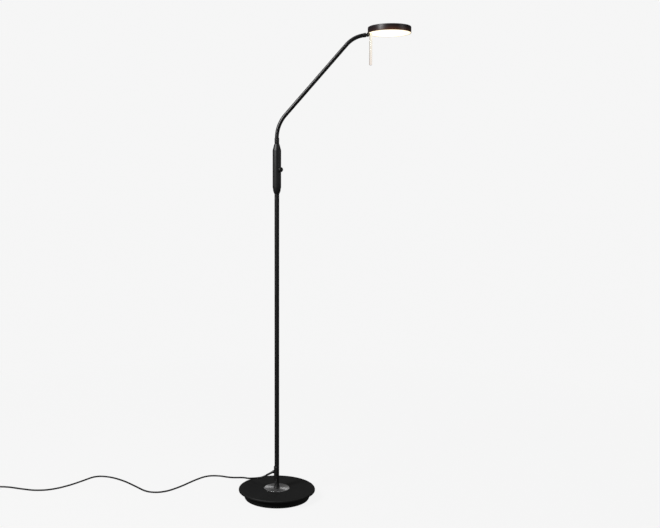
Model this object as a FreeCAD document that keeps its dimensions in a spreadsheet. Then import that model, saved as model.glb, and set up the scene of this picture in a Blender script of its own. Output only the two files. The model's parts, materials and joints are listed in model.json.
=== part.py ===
import FreeCAD, Part
import os
import re
from math import cos, pi, radians, sin, tan

import Sketcher
from FreeCAD import Placement, Rotation, Vector

# A pharmacy floor lamp. The origin is the middle of the base's underside, on the floor. +Z is up,
# the arm leans towards +X and the mains cord leaves towards -X. Every size is in millimetres.

SIZES = {
    "clearances, and how far a cutting shape runs past its piece": {
        "slip": 0.05, "hair": 0.01, "gap": 0.2, "past": 20,
    },
    "base": {
        "pad_radius": 96.5, "pad_thick": 2,
        "tub_radius": 98, "tub_sheet": 1.2, "tub_edge": 1, "tub_hole": 20,
        "weight_radius": 96.8, "weight_low": 3.2, "weight_top": 22, "weight_edge": 1.5,
        "hub_radius": 30,
        "recess_radius": 17, "recess_top": 12.2,
        "rim_radius": 115, "rim_edge": 3, "cover_sheet": 1.5, "cover_top": 28.5, "lip_low": 22.8,
        "trim_radius": 37.8, "trim_top": 29.3,
        "stud_radius": 5, "stud_bore": 3.5, "stud_low": 4, "stud_top": 50,
        "stud_slack": 0.25, "nut_flats": 17, "nut_low": 4.6, "washer_low": 10.6, "washer_radius": 14,
    },
    "pole": {
        "pole_radius": 7, "pole_wall": 1, "pole_top": 948, "insert_top": 54,
        "foot_radius": 9, "foot_neck": 7.9, "foot_step": 1.2, "foot_flare": 3.6, "foot_top": 36,
        "small_edge": 0.5,
        "outlet_radius": 9.1, "outlet_low": 49, "outlet_top": 95.5, "outlet_edge": 1.6,
        "exit_high": 83.3, "exit_slope": 27, "cable_radius": 2.4, "boss_radius": 4.4, "boss_end": 14,
        "relief_end": 36, "relief_wide": 3.4, "relief_thin": 2.95,
        "screw_head": 2.4, "screw_shank": 1.25, "screw_head_thick": 1.3, "screw_slot": 0.6,
        "screw_upper": 72, "screw_lower": 56,
    },
    "grip": {
        "grip_radius": 12.5, "grip_wall": 1.2, "grip_low": 931, "grip_top": 1039.5,
        "tail_low": 913, "tail_mid": 921, "tail_mid_radius": 10.6, "tail_radius": 11.9,
        "tail_spigot": 940, "nose_top": 1058.3, "nose_radius": 7.7, "nose_spigot": 1024,
        "bush_radius": 7.2, "bush_low": 1021, "bush_flange": 10.8,
        "stop_high": 1018.5, "stop_radius": 1.25, "stop_tip": 9.4,
        "board_low": 951.5, "board_high": 976, "board_wide": 16, "board_out": 3,
        "board_thick": 1.2, "can_radius": 3, "can_long": 10, "can_side": -4, "can_lift": 2,
        "nose_lip": 0.9, "nose_roof": 1, "tail_edge": 2,
    },
    "dimmer": {
        "knob_high": 983.7, "knob_turn": -45, "knob_radius": 7.2, "knob_long": 7, "knob_dome": 3.6,
        "knob_gap": 13.5, "knob_bore_deep": 4.8, "shaft_radius": 2, "shaft_start": 4,
        "seat_radius": 6.3, "seat_start": 8, "seat_end": 13.1, "pot_radius": 6.4, "pot_start": 1,
        "pot_end": 9,
        "pot_neck": 3.5, "pot_neck_end": 12.8,
    },
    "arm": {
        "arm_radius": 5.75, "arm_wall": 1, "arm_low": 1010, "arm_end": 253.8,
        "corner_high": 1113.6, "corner_out": 220.5, "joint_high": 1371.4, "end_slope": 9,
        "lower_bend": 100, "upper_bend": 80, "wire_radius": 1.8, "wire_low": 1000, "wire_end": 246,
        "collar_radius": 6.85, "collar_low": 1058.8, "collar_top": 1075.7,
        "keeper_radius": 9, "keeper_low": 1016.5, "keeper_top": 1020.5, "tooth_reach": 10.6,
        "tooth_wide": 3, "tooth_root": 1.2,
        "ferrule_radius": 6.25, "ferrule_start": 249.8, "ferrule_end": 256,
        "spigot_radius": 3.5, "spigot_bore": 1.6, "spigot_start": 247.4, "clip_thick": 1,
        "clip_wide": 0.7, "clip_back": 0.4,
    },
    "head": {
        "pivot_out": 263, "knuckle_face": 256.3, "knuckle_step": 257.3, "tongue_radius": 3.3,
        "tongue_half": 2, "tongue_root": 0.5, "pin_radius": 1.5,
        "ear_radius": 5.3, "ear_inner": 2.3, "ear_outer": 6.3,
        "head_out": 324.9, "head_radius": 62.4, "head_low": 1374.8, "head_top": 1392.8,
        "shell_thick": 1, "shell_edge": 2, "notch_top": 1377, "notch_half": 6.7, "notch_deep": 3,
        "spreader_radius": 61.2, "spreader_low": 1389, "board_radius": 42.5, "led_board_low": 1387.6,
        "led_side": 3, "led_thick": 0.7, "led_outer_ring": 38, "led_inner_ring": 18,
        "mirror_inner": 58.4, "mirror_outer": 61.2, "mirror_taper": 1.3,
        "mirror_low": 1378.2, "face_radius": 61.2, "face_low": 1375, "face_thick": 2.6,
        "cheek_inner": 4.7, "cheek_start": 264.6, "cheek_high": 1378.2, "cheek_rise": 3.8, "foot_end": 281.5,
        "foot_low": 1386.8, "rod_out": 271.2, "rod_radius": 4.2, "rod_low": 1284.3,
        "rod_high": 1379, "plate_start": 268.6, "plate_end": 276.3, "plate_thick": 2,
        "bolt_out": 278.2, "bolt_radius": 1.4, "bolt_head": 2.3, "bolt_head_thick": 1.8,
    },
    "cord": {
        "cord_radius": 2.5, "coil_x": -952, "coil_y": 120, "coil_inner": 19.5, "coil_outer": 35.5,
        "coil_edge": 2.4,
        "neck_grow": 0.6,
        "coil_thick": 9.4, "plug_x": -975, "plug_y": 90, "plug_neck_long": 14, "plug_neck_radius": 4.6,
        "plug_long": 34, "plug_wide": 26, "plug_thick": 14, "plug_edge": 3.5,
        "prong_long": 19, "prong_radius": 2, "prong_gap": 18.6,
    },
}

# The driver board's block-shaped components: side, height on the board, width, depth and height.
DRIVER_BLOCKS = [(2, 4, 5.4, 4, 6), (2, 15, 4, 1.4, 5), (-6, 18, 3, 1.2, 3)]

# The mains cord's way from the strain relief's tip: down past the base's edge, then in loose
# curves along the floor to the coil. The last run is the lead into the coil's side.
CORD_ROUTE = [
    (-45, 0, 60.4), (-61, 7, 56), (-75, 21, 50.4), (-88, 42, 42.9), (-99, 66, 36.8),
    (-110, 91, 28.9), (-123, 117, 20), (-138, 143, 11), (-158, 168, 4), (-188, 187, 2.5), (-228, 185, 2.5),
    (-264, 141, 2.5), (-300, 83, 2.5), (-345, 33, 2.5), (-396, 32, 2.5), (-441, 86, 2.5),
    (-487, 138, 2.5), (-538, 176, 2.5), (-586, 184, 2.5), (-617, 138, 2.5), (-652, 92, 2.5),
    (-696, 56, 2.5), (-744, 48, 2.5), (-794, 64, 2.5), (-846, 84, 2.5), (-897, 80, 2.5),
]
COIL_ENTRY = (-940, 84.9, 2.5)

# Nodes in the order of assembly. Each one is written to a file of its own.
nodes = []

doc = FreeCAD.newDocument("PharmacyLamp")
sheet = doc.addObject("Spreadsheet::Sheet", "Dims")


def fill_sheet():
    """Write each group's sizes under its title: alias in column A, plain number in column B."""
    row = 1
    for title, group in SIZES.items():
        sheet.set(f"A{row}", title)
        for alias, size in group.items():
            row += 1
            sheet.set(f"A{row}", alias)
            sheet.set(f"B{row}", str(size))
            sheet.setAlias(f"B{row}", alias)
        row += 2
    doc.recompute()


def bound(formula):
    """A size formula in aliases, with the sheet's name in front of each alias."""
    return re.sub(r"[a-z]\w*", lambda word: "Dims." + word.group(), str(formula))


def size(formula):
    """The number that a size formula gives now."""
    return float(sheet.evalExpression(bound(formula)))


def bind(item, **formulas):
    """Bind properties of a document object to size formulas."""
    for name, formula in formulas.items():
        item.setExpression(name, bound(formula))


def place(item, x=0, y=0, z=0, axis=Vector(0, 0, 1)):
    """Stand a piece's own Z along axis, and bind where its origin is to size formulas."""
    item.Placement = Placement(Vector(0, 0, 0), Rotation(Vector(0, 0, 1), axis))
    for letter, formula in (("x", x), ("y", y), ("z", z)):
        item.setExpression("Placement.Base." + letter, bound(formula))


def node(item, name):
    """Name a finished sub-part, whose label is also its file's name."""
    item.Label = name
    nodes.append(item)
    return item


def origin_plane(body, role):
    return next(part for part in body.Origin.OriginFeatures if part.Role == role)


def turned(name, outline, x=0, y=0, z=0, axis=Vector(0, 0, 1)):
    """A turned solid: corners of its half section as (radius, height) formulas, spun round Z."""
    body = doc.addObject("PartDesign::Body", name)
    sketch = body.newObject("Sketcher::SketchObject", name + "_outline")
    sketch.AttachmentSupport = (origin_plane(body, "XZ_Plane"), "")
    sketch.MapMode = "FlatFace"
    corners = [Vector(size(radius), size(height), 0) for radius, height in outline]
    for here, after in zip(corners, corners[1:] + corners[:1]):
        sketch.addGeometry(Part.LineSegment(here, after), False)
    for index, corner in enumerate(outline):
        sketch.addConstraint(Sketcher.Constraint("Coincident", index, 2, (index + 1) % len(outline), 1))
        for kind, axis_id, formula in (("DistanceX", -2, corner[0]), ("DistanceY", -1, corner[1])):
            if size(formula) == 0:
                sketch.addConstraint(Sketcher.Constraint("PointOnObject", index, 1, axis_id))
                continue
            rule = Sketcher.Constraint(kind, -1, 1, index, 1, size(formula))
            sketch.setExpression(f"Constraints[{sketch.addConstraint(rule)}]", bound(formula))
    spin = body.newObject("PartDesign::Revolution", name + "_spin")
    spin.Profile = sketch
    spin.ReferenceAxis = (sketch, ["V_Axis"])
    spin.Angle = 360
    place(body, x, y, z, axis)
    doc.recompute()
    return body


def ring(name, outer, inner, low, high, **where):
    """A turned tube, or a disc where inner is 0."""
    return turned(name, [(inner, low), (outer, low), (outer, high), (inner, high)], **where)


def rounded(body, radius, circles):
    """Round a turned body's edges, each given as (radius, height) formulas in its own frame."""
    last = body.Tip
    wanted = [(size(at), size(height)) for at, height in circles]
    edges = []
    for number, edge in enumerate(last.Shape.Edges, 1):
        if isinstance(edge.Curve, Part.Circle):
            found = (edge.Curve.Radius, edge.Curve.Center.z)
            if any(abs(found[0] - at) + abs(found[1] - height) < 0.01 for at, height in wanted):
                edges.append(f"Edge{number}")
    fillet = body.newObject("PartDesign::Fillet", body.Name + "_round")
    fillet.Base = (last, edges)
    bind(fillet, Radius=radius)
    body.Tip = fillet
    doc.recompute()
    return body


def cylinder(name, radius, long, **where):
    rod = doc.addObject("Part::Cylinder", name)
    bind(rod, Radius=radius, Height=long)
    place(rod, **where)
    return rod


def box(name, low, high):
    """A block between two corners, each of three size formulas."""
    block = doc.addObject("Part::Box", name)
    spans = [f"({top}) - ({bottom})" for bottom, top in zip(low, high)]
    bind(block, Length=spans[0], Width=spans[1], Height=spans[2])
    place(block, *low)
    return block


def fused(name, *pieces):
    joined = doc.addObject("Part::MultiFuse", name)
    joined.Shapes = list(pieces)
    return joined


def cut(name, base, *tools):
    """A piece with its holes and notches taken out."""
    opened = doc.addObject("Part::Cut", name)
    opened.Base = base
    opened.Tool = tools[0] if len(tools) == 1 else fused(name + "_holes", *tools)
    return opened


def group(name, shapes):
    """Separate solids that share one node."""
    holder = doc.addObject("Part::Feature", name)
    holder.Shape = Part.makeCompound(shapes)
    holder.Placement = Placement()
    return node(holder, name)


def bent_path(name, points, radii):
    """Straight runs through the points, joined by tangent arcs of the given radii."""
    edges = []
    start = points[0]
    for before, corner, after, radius in zip(points, points[1:], points[2:], radii):
        into = (corner - before).normalize()
        out = (after - corner).normalize()
        turn = into.getAngle(out)
        reach = radius * tan(turn / 2)
        first = corner - into * reach
        last = corner + out * reach
        inward = (out - into).normalize()
        middle = corner + inward * (radius / cos(turn / 2) - radius)
        edges.append(Part.LineSegment(start, first).toShape())
        edges.append(Part.Arc(first, middle, last).toShape())
        start = last
    edges.append(Part.LineSegment(start, points[-1]).toShape())
    path = doc.addObject("Part::Feature", name)
    path.Shape = Part.Wire(edges)
    return path


def swept(name, path, radius):
    """A round bar of the given radius along a path."""
    start, after = path.Shape.Vertexes[0].Point, path.Shape.Vertexes[1].Point
    section = doc.addObject("Part::Circle", name + "_section")
    bind(section, Radius=radius)
    section.Placement = Placement(start, Rotation(Vector(0, 0, 1), after - start))
    bar = doc.addObject("Part::Sweep", name)
    bar.Sections = [section]
    bar.Spine = (path, [f"Edge{number}" for number in range(1, len(path.Shape.Edges) + 1)])
    bar.Solid = True
    bar.Frenet = False
    doc.recompute()
    return bar


def hexagon(name, flats, low, high, bore):
    """A six-sided nut about the Z axis."""
    prism = doc.addObject("Part::Prism", name + "_blank")
    prism.Polygon = 6
    bind(prism, Circumradius=f"({flats}) / 2 / 0.866", Height=f"({high}) - ({low})")
    place(prism, z=low)
    return cut(name, prism, cylinder(name + "_bore", bore, f"({high}) - ({low})", z=low))


def make_base():
    """The pad, tub, weight and spun cover, with the trim disc and what clamps them together."""
    node(ring("base_pad_body", "pad_radius", 0, 0, "pad_thick"), "base_pad")
    tub = turned("tub_body", [
        ("tub_hole", "pad_thick"), ("tub_radius", "pad_thick"),
        ("tub_radius", "cover_top - cover_sheet"), ("tub_radius - tub_sheet", "cover_top - cover_sheet"),
        ("tub_radius - tub_sheet", "pad_thick + tub_sheet"), ("tub_hole", "pad_thick + tub_sheet")])
    node(rounded(tub, "tub_edge", [("tub_radius", "pad_thick")]), "base_tub")
    weight = turned("weight_body", [
        ("recess_radius", "weight_low"), ("weight_radius", "weight_low"),
        ("weight_radius", "weight_top"), ("hub_radius", "weight_top"),
        ("hub_radius", "cover_top - cover_sheet"), ("stud_radius + stud_slack", "cover_top - cover_sheet"),
        ("stud_radius + stud_slack", "recess_top"), ("recess_radius", "recess_top")])
    node(rounded(weight, "weight_edge", [("weight_radius", "weight_top"), ("weight_radius", "weight_low")]),
         "base_weight")
    cover = turned("cover_body", [
        ("stud_radius + stud_slack", "cover_top - cover_sheet"),
        ("rim_radius - cover_sheet", "cover_top - cover_sheet"),
        ("rim_radius - cover_sheet", "lip_low"), ("rim_radius", "lip_low"),
        ("rim_radius", "cover_top"), ("stud_radius + stud_slack", "cover_top")])
    cover = rounded(cover, "rim_edge", [("rim_radius", "cover_top")])
    inner_edge = [("rim_radius - cover_sheet", "cover_top - cover_sheet")]
    node(rounded(cover, "rim_edge - cover_sheet", inner_edge), "base_cover")
    node(ring("trim_body", "trim_radius", "stud_radius + stud_slack", "cover_top", "trim_top"), "trim_disc")
    node(ring("stud_body", "stud_radius", "stud_bore", "stud_low", "stud_top"), "base_stud")
    node(ring("washer_body", "washer_radius", "stud_radius + stud_slack", "washer_low", "recess_top"),
         "base_washer")
    node(hexagon("nut_shape", "nut_flats", "nut_low", "washer_low", "stud_radius"), "base_nut")


def make_pole():
    """The pole with its threaded insert and foot collar, and the hole for the cable."""
    way = exit_direction()
    pole = ring("pole_blank", "pole_radius", "pole_radius - pole_wall", "trim_top", "pole_top")
    hole = cylinder("pole_hole", "cable_radius + stud_slack", "boss_end", z="exit_high", axis=way)
    node(cut("pole_shape", pole, hole), "pole_tube")
    node(ring("insert_body", "pole_radius - pole_wall - slip / 2", "stud_radius", "trim_top",
              "insert_top"), "pole_insert")
    foot = turned("foot_body", [
        ("pole_radius + slip", "trim_top"), ("foot_radius", "trim_top"),
        ("foot_radius", "trim_top + foot_step"), ("foot_neck", "trim_top + foot_flare"),
        ("foot_neck", "foot_top"), ("pole_radius + slip", "foot_top")])
    node(rounded(foot, "small_edge", [("foot_radius", "trim_top + foot_step"), ("foot_neck", "foot_top")]),
         "foot_collar")


def exit_direction():
    """The way the cable leaves the pole: towards -X and downwards."""
    slope = radians(size("exit_slope"))
    return Vector(-cos(slope), 0, -sin(slope))


def make_cable_outlet():
    """The half-round saddle on the pole, its screws, the strain relief and the cable inside."""
    way = exit_direction()
    shell = ring("outlet_blank", "outlet_radius", "pole_radius + slip", "outlet_low", "outlet_top")
    shell = rounded(shell, "outlet_edge", [("outlet_radius", "outlet_low"), ("outlet_radius", "outlet_top")])
    boss = cylinder("outlet_boss", "boss_radius", "boss_end", z="exit_high", axis=way)
    core = cylinder("outlet_core", "pole_radius + slip", "outlet_top", z=0)
    open_side = box("outlet_side", (1, "-outlet_radius - 1", "outlet_low - 1"),
                    ("outlet_radius + 1", "outlet_radius + 1", "outlet_top + 1"))
    bore = cylinder("outlet_bore", "cable_radius + 2 * slip", "boss_end + 1", z="exit_high", axis=way)
    front = Vector(0, -1, 0)
    screw_holes = [
        cylinder(f"outlet_hole_{level}", "screw_shank + slip", "outlet_radius",
                 z=f"screw_{level}", axis=front)
        for level in ("upper", "lower")]
    saddle = cut("outlet_shape", fused("outlet_whole", shell, boss), core, open_side, bore, *screw_holes)
    node(saddle, "cable_outlet")
    screws = []
    thick = size("screw_head_thick")
    for level in ("upper", "lower"):
        seat = Vector(0, -size("outlet_radius"), size(f"screw_{level}"))
        reach_in = size("outlet_radius - pole_radius")
        shank = Part.makeCylinder(size("screw_shank"), reach_in, seat, Vector(0, 1, 0))
        head = Part.makeCylinder(size("screw_head"), thick, seat, front)
        half = size("screw_slot / 2")
        reach = size("screw_head * 0.75")
        slot = Part.makeBox(2 * reach, thick / 2, 2 * half, seat + Vector(-reach, -thick, -half))
        topped = head.makeFillet(size("small_edge"), [head.Edges[0]])
        screws.append(topped.fuse(shank).cut(slot).Solids[0])
    group("outlet_screws", screws)
    relief = turned("relief_body", [
        ("cable_radius + 3 * slip", "boss_end"), ("relief_wide", "boss_end"),
        ("relief_thin", "relief_end"), ("cable_radius + 3 * slip", "relief_end")],
        z="exit_high", axis=way)
    node(relief, "strain_relief")
    stub = cylinder("cable_stub", "cable_radius", "relief_end", z="exit_high", axis=way)
    bend = doc.addObject("Part::Sphere", "cable_bend")
    bind(bend, Radius="cable_radius")
    place(bend, z="exit_high")
    riser = cylinder("cable_riser", "cable_radius", "board_low - exit_high", z="exit_high")
    node(fused("cable_shape", stub, bend, riser), "pole_cable")


def make_grip():
    """The grip's tube between its two cones, with the swivel bush and the stop screw."""
    bore = "grip_radius - grip_wall"
    tail = turned("tail_body", [
        ("pole_radius + slip", "tail_low"), ("pole_radius + 0.5", "tail_low"),
        ("tail_mid_radius", "tail_mid"), ("tail_radius", "grip_low"),
        (bore + " - slip", "grip_low"), (bore + " - slip", "tail_spigot"),
        ("pole_radius + slip", "tail_spigot")])
    node(rounded(tail, "tail_edge", [("tail_mid_radius", "tail_mid")]), "grip_tail")
    sleeve = ring("grip_blank", "grip_radius", bore, "grip_low", "grip_top")
    pot_hole = cylinder("grip_pot_hole", "pot_neck + 2 * slip", "grip_radius + past", z="knob_high",
                        axis=knob_axis())
    stop_hole = cylinder("grip_stop_hole", "stop_radius + 2 * hair", "grip_radius + past", z="stop_high",
                         axis=Vector(0, 1, 0))
    node(cut("grip_shape", sleeve, pot_hole, stop_hole), "grip_sleeve")
    nose = turned("nose_body", [
        ("bush_radius + slip", "nose_spigot"), (bore + " - slip", "nose_spigot"),
        (bore + " - slip", "grip_top"), ("grip_radius", "grip_top"),
        ("nose_radius", "nose_top"), ("bush_radius - nose_lip", "nose_top"),
        ("bush_radius - nose_lip", "nose_top - nose_roof"), ("bush_radius + slip", "nose_top - nose_roof")])
    node(nose, "grip_nose")
    bush = turned("bush_body", [
        ("arm_radius + slip", "bush_low"), ("bush_flange", "bush_low"),
        ("bush_flange", "nose_spigot"), ("bush_radius", "nose_spigot"),
        ("bush_radius", "nose_top - nose_roof - 2 * slip"),
        ("arm_radius + slip", "nose_top - nose_roof - 2 * slip")])
    node(bush, "swivel_bush")
    node(cylinder("stop_body", "stop_radius", "grip_radius - stop_tip - 2 * slip", y="stop_tip",
                  z="stop_high", axis=Vector(0, 1, 0)), "stop_screw")


def knob_axis():
    """The way the dimmer's shaft points: level, turned from +X by knob_turn."""
    turn = radians(size("knob_turn"))
    return Vector(cos(turn), sin(turn), 0)


def along_knob(name, outline):
    """A turned piece on the dimmer's axis, its heights measured from the pole's axis."""
    return turned(name, outline, z="knob_high", axis=knob_axis())


def make_dimmer():
    """The potentiometer behind the grip's wall, its seat, shaft and knob, and the driver board."""
    pot = along_knob("pot_body", [
        ("shaft_radius + slip + hair", "pot_start"), ("pot_radius", "pot_start"), ("pot_radius", "pot_end"),
        ("pot_neck", "pot_end"), ("pot_neck", "pot_neck_end"),
        ("shaft_radius + slip + hair", "pot_neck_end")])
    node(pot, "dimmer_pot")
    seat = along_knob("seat_blank", [
        ("pot_neck + slip", "seat_start"), ("seat_radius", "seat_start"), ("seat_radius", "seat_end"),
        ("pot_neck + slip", "seat_end")])
    inside = cylinder("seat_inside", "grip_radius + 2 * hair", "2 * past", z="knob_high - past")
    node(cut("seat_shape", seat, inside), "knob_seat")
    shaft = along_knob("shaft_body", [
        (0, "shaft_start"), ("shaft_radius", "shaft_start"),
        ("shaft_radius", "knob_gap + knob_bore_deep - gap"), (0, "knob_gap + knob_bore_deep - gap")])
    node(shaft, "knob_shaft")
    knob = along_knob("knob_body", [
        ("shaft_radius + hair", "knob_gap"), ("knob_radius", "knob_gap"),
        ("knob_radius", "knob_gap + knob_long"), (0, "knob_gap + knob_long"),
        (0, "knob_gap + knob_bore_deep"), ("shaft_radius + hair", "knob_gap + knob_bore_deep")])
    node(rounded(knob, "knob_dome", [("knob_radius", "knob_gap + knob_long")]), "dimmer_knob")
    board = box("driver_blank", ("-board_wide / 2", "board_out", "board_low"),
                ("board_wide / 2", "board_out + board_thick", "board_high"))
    node(board, "driver_board")
    face = size("board_out")
    low = size("board_low")
    can_at = Vector(size("can_side"), face - size("can_radius + slip"), low + size("can_lift"))
    parts = [Part.makeCylinder(size("can_radius"), size("can_long"), can_at, Vector(0, 0, 1))]
    for side, lift, wide, deep, tall in DRIVER_BLOCKS:
        parts.append(Part.makeBox(wide, deep, tall, Vector(side, face - deep, low + lift)))
    group("driver_parts", parts)


def end_way():
    """The way the arm's end points: out to the head, and up by end_slope."""
    slope = radians(size("end_slope"))
    return Vector(cos(slope), 0, sin(slope))


def pivot():
    """The tilt pin's middle, which the arm's end points at."""
    return Vector(size("pivot_out"), 0, size("joint_high"))


def on_end_line(along):
    """The point on the arm end's axis at a distance that reaches pivot_out at the tilt pin."""
    return pivot() + end_way() * (size(along) - size("pivot_out"))


def arm_points():
    """The arm's corners: up the pole's axis, along the leaning stretch, then up to the joint."""
    way = end_way()
    short = (size("pivot_out") - size("corner_out")) / way.x
    return [Vector(0, 0, size("arm_low")), Vector(0, 0, size("corner_high")),
            pivot() - way * short, on_end_line("arm_end")]


def make_arm():
    """The bent arm tube with its wire, the collar and keeper on its foot, and its end ferrule."""
    bends = [size("lower_bend"), size("upper_bend")]
    corners = arm_points()
    path = bent_path("arm_path", corners, bends)
    tube = cut("arm_shape", swept("arm_outside", path, "arm_radius"),
               swept("arm_inside", path, "arm_radius - arm_wall"))
    node(tube, "arm_tube")
    corners[0] = Vector(0, 0, size("wire_low"))
    wire_path = bent_path("wire_path", corners, bends)
    wire = swept("wire_whole", wire_path, "wire_radius")
    beyond = box("wire_trim", ("wire_end", "-past", "joint_high - past"),
                 ("wire_end + past", "past", "joint_high + past"))
    node(cut("wire_shape", wire, beyond), "arm_wire")
    collar = ring("collar_body", "collar_radius", "arm_radius + hair", "collar_low", "collar_top")
    node(rounded(collar, "small_edge", [("collar_radius", "collar_top"), ("collar_radius", "collar_low")]),
         "arm_collar")
    keeper = ring("keeper_ring", "keeper_radius", "arm_radius + hair", "keeper_low", "keeper_top")
    tooth = box("keeper_tooth", ("-tooth_wide / 2", "-tooth_reach", "keeper_low"),
                ("tooth_wide / 2", "-keeper_radius + tooth_root", "keeper_top"))
    node(fused("keeper_shape", keeper, tooth), "arm_keeper")
    ferrule = along_arm_end("ferrule_body", [
        ("arm_radius + 3 * slip", "ferrule_start"), ("ferrule_radius", "ferrule_start"),
        ("ferrule_radius", "ferrule_end"), ("spigot_radius + slip", "ferrule_end"),
        ("spigot_radius + slip", "arm_end + 2 * slip"), ("arm_radius + 3 * slip", "arm_end + 2 * slip")])
    ends = [("ferrule_radius", "ferrule_start"), ("ferrule_radius", "ferrule_end")]
    node(rounded(ferrule, "small_edge / 2", ends), "arm_ferrule")
    bush = along_arm_end("end_bush_body", [
        ("spigot_radius + slip", "ferrule_start"), ("arm_radius - arm_wall - gap", "ferrule_start"),
        ("arm_radius - arm_wall - gap", "arm_end"), ("spigot_radius + slip", "arm_end")])
    node(bush, "arm_end_bush")


def along_arm_end(name, outline):
    """A turned piece on the arm end's axis, its heights measured as on_end_line's distances."""
    start = on_end_line(0)
    return turned(name, outline, x=start.x, z=start.z, axis=end_way())


def make_knuckle():
    """The turning knuckle between arm and head: spigot, disc and tongue, and the spigot's clip.
    The knuckle is made level and then turned up about the tilt pin, into line with the arm's end."""
    stem = turned("knuckle_stem", [
        ("spigot_bore", "spigot_start"), ("spigot_radius", "spigot_start"),
        ("spigot_radius", "knuckle_face"), ("ferrule_radius", "knuckle_face"),
        ("ferrule_radius", "knuckle_step"), ("spigot_bore", "knuckle_step")],
        z="joint_high", axis=Vector(1, 0, 0))
    tongue = box("knuckle_tongue",
                 ("knuckle_step - tongue_root", "-tongue_half", "joint_high - tongue_radius"),
                 ("pivot_out", "tongue_half", "joint_high + tongue_radius"))
    tip = cylinder("knuckle_tip", "tongue_radius", "2 * tongue_half", x="pivot_out", y="tongue_half",
                   z="joint_high", axis=Vector(0, -1, 0))
    hole = cylinder("knuckle_hole", "pin_radius + slip", "4 * tongue_half", x="pivot_out",
                    y="2 * tongue_half", z="joint_high", axis=Vector(0, -1, 0))
    knuckle = cut("knuckle_shape", fused("knuckle_whole", stem, tongue, tip), hole)
    lean = Rotation(Vector(0, 1, 0), -size("end_slope"))
    knuckle.Placement = Placement(Vector(0, 0, 0), lean, pivot())
    node(knuckle, "head_knuckle")
    clip = along_arm_end("clip_body", [
        ("spigot_radius + hair", "spigot_start + clip_back"),
        ("spigot_radius + clip_wide", "spigot_start + clip_back"),
        ("spigot_radius + clip_wide", "spigot_start + clip_back + clip_thick"),
        ("spigot_radius + hair", "spigot_start + clip_back + clip_thick")])
    node(clip, "spigot_clip")


def make_head_bracket():
    """The bracket's two ears round the tilt pin, its cheeks beside the rod and its foot plate."""
    pieces = []
    for side, near, far in (("left", "ear_inner", "ear_outer"), ("right", "-ear_outer", "-ear_inner")):
        pieces.append(cylinder(f"ear_{side}", "ear_radius", "ear_outer - ear_inner", x="pivot_out",
                               y=far, z="joint_high", axis=Vector(0, -1, 0)))
        inner = "cheek_inner" if side == "left" else "-ear_outer"
        outer = "ear_outer" if side == "left" else "-cheek_inner"
        pieces.append(box(f"cheek_{side}_front", ("cheek_start", inner, "joint_high + cheek_rise"),
                          ("plate_start - gap", outer, "foot_low")))
        pieces.append(box(f"cheek_{side}", ("cheek_start", inner, "cheek_high"),
                          ("foot_end", outer, "foot_low")))
    pieces.append(box("bracket_foot", ("cheek_start", "-ear_outer", "foot_low"),
                      ("foot_end", "ear_outer", "spreader_low")))
    rod_room = cylinder("bracket_rod_room", "rod_radius + gap", "foot_low - joint_high + past",
                        x="rod_out", z="joint_high - past")
    pin_hole = cylinder("bracket_pin_hole", "pin_radius", "2 * past", x="pivot_out", y="past",
                        z="joint_high", axis=Vector(0, -1, 0))
    bolt_hole = cylinder("bracket_bolt_hole", "bolt_radius + slip", "2 * past", x="bolt_out",
                         z="foot_low - past")
    whole = fused("bracket_whole", *pieces)
    node(cut("bracket_shape", whole, rod_room, pin_hole, bolt_hole), "head_bracket")
    node(cylinder("pin_body", "pin_radius", "2 * ear_outer", x="pivot_out", y="ear_outer",
                  z="joint_high", axis=Vector(0, -1, 0)), "tilt_pin")


def over_head(name, outline):
    """A turned piece on the head's own upright axis."""
    return turned(name, outline, x="head_out")


def bracket_notch(name, half, end):
    """The space that the bracket takes out of a round part of the head, on its arm side."""
    return box(name, ("head_out - head_radius - past", f"-({half})", "head_low - past"),
               (end, half, "spreader_low"))


def make_head_shell():
    """The round housing with its notch for the ears, and what it holds: spreader and LEDs."""
    shell = over_head("shell_blank", [
        (0, "head_top - shell_thick"), ("head_radius - shell_thick", "head_top - shell_thick"),
        ("head_radius - shell_thick", "head_low"), ("head_radius", "head_low"),
        ("head_radius", "head_top"), (0, "head_top")])
    shell = rounded(shell, "shell_edge", [("head_radius", "head_top")])
    notch = box("shell_notch", ("head_out - head_radius - past", "-notch_half", "head_low - past"),
                ("cheek_start + notch_deep", "notch_half", "notch_top"))
    node(cut("shell_shape", shell, notch), "head_housing")
    spreader = over_head("spreader_blank", [
        (0, "spreader_low"), ("spreader_radius", "spreader_low"),
        ("spreader_radius", "head_top - shell_thick"), (0, "head_top - shell_thick")])
    bolt_hole = cylinder("spreader_hole", "bolt_radius + slip", "past", x="bolt_out", z="foot_low")
    node(cut("spreader_shape", spreader, bolt_hole), "heat_spreader")
    node(over_head("led_board_body", [
        (0, "led_board_low"), ("board_radius", "led_board_low"), ("board_radius", "spreader_low"),
        (0, "spreader_low")]), "led_board")
    chips = []
    for count, ring_size in ((24, "led_outer_ring"), (12, "led_inner_ring")):
        for index in range(count):
            chip = Part.makeBox(size("led_side"), size("led_side"), size("led_thick"),
                                Vector(size(ring_size), -size("led_side / 2"), 0))
            chip.rotate(Vector(0, 0, 0), Vector(0, 0, 1), 360 * index / count)
            chip.translate(Vector(size("head_out"), 0, size("led_board_low - led_thick")))
            chips.append(chip)
    group("led_chips", chips)


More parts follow.
